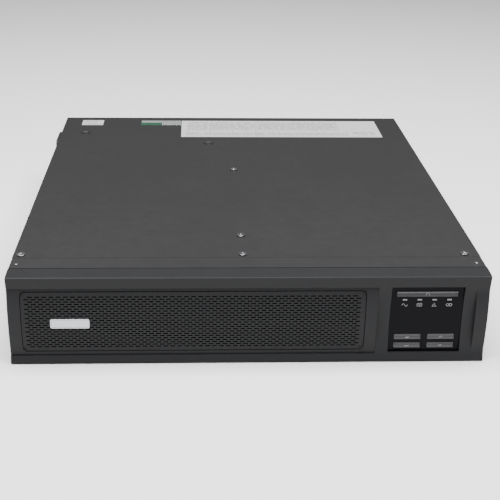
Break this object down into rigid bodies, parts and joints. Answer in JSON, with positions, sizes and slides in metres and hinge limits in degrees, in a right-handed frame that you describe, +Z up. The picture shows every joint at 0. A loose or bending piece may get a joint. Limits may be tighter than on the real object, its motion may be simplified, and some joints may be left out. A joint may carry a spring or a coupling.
{
  "type": "uninterruptible power supply",
  "caption": "Low wide battery-backed power supply for a rack: steel case, slotted front bezel with display module, battery drawer behind it, mains sockets and fan at the rear.",
  "frame": {"origin": "centre of the underside of the chassis", "axes": "+X to the right seen from the front, +Y from the front bezel to the rear, +Z up"},
  "size_m": [0.4362, 0.4897, 0.0884],
  "materials": {
    "chassis_paint": "fine texture powder coat, dark grey",
    "zinc_steel": "zinc plated sheet",
    "bright_screws": "bright plated steel",
    "black_screws": "black oxide",
    "label_film": "printed film",
    "seal_foil": "silvery foil",
    "board_green": "solder mask",
    "sink_aluminium": "extruded",
    "component_black": "moulded epoxy",
    "capacitor_sleeve": "shrink sleeve",
    "relay_case": "moulded",
    "copper_wire": "enamelled copper",
    "core_steel": "varnished laminations",
    "coil_tape": "tape over windings",
    "connector_orange": "moulded",
    "lead_insulation": "insulated lead",
    "ribbon_film": "flat cable",
    "fan_plastic": "moulded black",
    "socket_plastic": "moulded black",
    "port_shell": "plated shell",
    "terminal_green": "moulded",
    "bezel_plastic": "satin moulded dark grey",
    "badge_grey": "light grey moulded",
    "battery_case": "moulded case",
    "strap_webbing": "woven",
    "display_black": "moulded black",
    "lens_gloss": "dark tinted, glossy",
    "lcd_glass": "unlit",
    "light_pipe": "smoked clear",
    "key_plastic": "moulded dark grey"
  },
  "bodies": {
    "chassis": {"base_tray": "chassis_paint", "front_frame": "chassis_paint", "rear_panel": "chassis_paint", "top_cover": "chassis_paint", "bay_wall": "zinc_steel", "side_lug": "chassis_paint", "cover_screws": "bright_screws", "recessed_screws": "black_screws", "frame_rivets": "bright_screws", "rear_screws": "bright_screws", "rating_label": "label_film", "serial_label": "label_film", "seal_sticker": "seal_foil", "main_board": "board_green", "heat_sinks": "sink_aluminium", "power_transistors": "component_black", "capacitors": "capacitor_sleeve", "relays": "relay_case", "inductors": "copper_wire", "transformer_core": "core_steel", "transformer_coils": "coil_tape", "transformer_bracket": "zinc_steel", "connector_socket": "connector_orange", "battery_leads": "lead_insulation", "display_ribbon": "ribbon_film", "fan_frame": "fan_plastic", "fan_guard": "bright_screws", "power_inlet": "socket_plastic", "outlet_bank_left": "socket_plastic", "outlet_bank_right": "socket_plastic", "breaker_body": "socket_plastic", "slot_cover": "zinc_steel", "usb_port": "port_shell", "serial_port": "socket_plastic", "epo_terminal": "terminal_green"},
    "front_bezel": {"bezel": "bezel_plastic", "grille_panel": "bezel_plastic", "badge": "badge_grey"},
    "door": {"battery_door": "zinc_steel"},
    "thumb_left": {"thumb_screw_left": "bright_screws"},
    "thumb_right": {"thumb_screw_right": "bright_screws"},
    "battery": {"battery_tray": "zinc_steel", "battery_block_1": "battery_case", "battery_block_2": "battery_case", "battery_block_3": "battery_case", "battery_block_4": "battery_case", "battery_links": "connector_orange", "pull_strap": "strap_webbing"},
    "display": {"display_housing": "display_black", "display_lens": "lens_gloss", "lcd_panel": "lcd_glass", "display_board": "board_green", "status_lights": "light_pipe"},
    "power_key": {"power_button": "key_plastic"},
    "escape_key": {"escape_button": "key_plastic"},
    "up_key": {"up_button": "key_plastic"},
    "enter_key": {"enter_button": "key_plastic"},
    "down_key": {"down_button": "key_plastic"},
    "fan": {"fan_rotor": "fan_plastic"},
    "breaker": {"breaker_button": "socket_plastic"}
  },
  "joints": [
    {"name": "battery_slide", "type": "slide", "parent": "chassis", "child": "battery", "axis": [0, -1, 0], "range_m": [0, 0.34]},
    {"name": "door_pull", "type": "slide", "parent": "chassis", "child": "door", "axis": [0, -1, 0], "range_m": [0, 0.4]},
    {"name": "bezel_pull", "type": "slide", "parent": "chassis", "child": "front_bezel", "axis": [0, -1, 0], "range_m": [0, 0.46]},
    {"name": "thumb_left_turn", "type": "hinge", "parent": "door", "child": "thumb_left", "pos_m": [-0.1894, -0.2265, 0.0776], "axis": [0, 1, 0], "continuous": true},
    {"name": "thumb_right_turn", "type": "hinge", "parent": "door", "child": "thumb_right", "pos_m": [-0.0374, -0.2265, 0.0776], "axis": [0, 1, 0], "continuous": true},
    {"name": "display_pull", "type": "slide", "parent": "chassis", "child": "display", "axis": [0, -1, 0], "range_m": [0, 0.028], "deforming": ["display_ribbon"]},
    {"name": "power_press", "type": "slide", "parent": "display", "child": "power_key", "axis": [0, 1, 0], "range_m": [0, 0.0008], "stiffness_N_per_m": 1200},
    {"name": "escape_press", "type": "slide", "parent": "display", "child": "escape_key", "axis": [0, 1, 0], "range_m": [0, 0.0008], "stiffness_N_per_m": 1200},
    {"name": "up_press", "type": "slide", "parent": "display", "child": "up_key", "axis": [0, 1, 0], "range_m": [0, 0.0008], "stiffness_N_per_m": 1200},
    {"name": "enter_press", "type": "slide", "parent": "display", "child": "enter_key", "axis": [0, 1, 0], "range_m": [0, 0.0008], "stiffness_N_per_m": 1200},
    {"name": "down_press", "type": "slide", "parent": "display", "child": "down_key", "axis": [0, 1, 0], "range_m": [0, 0.0008], "stiffness_N_per_m": 1200},
    {"name": "fan_spin", "type": "hinge", "parent": "chassis", "child": "fan", "pos_m": [-0.165, 0.22, 0.0435], "axis": [0, 1, 0], "continuous": true},
    {"name": "breaker_trip", "type": "slide", "parent": "chassis", "child": "breaker", "axis": [0, 1, 0], "range_m": [0, 0.0035]}
  ],
  "couplings": [
    {"joint": "door_pull", "follows": "battery_slide", "ratio": 1.15},
    {"joint": "bezel_pull", "follows": "battery_slide", "ratio": 1.3}
  ]
}
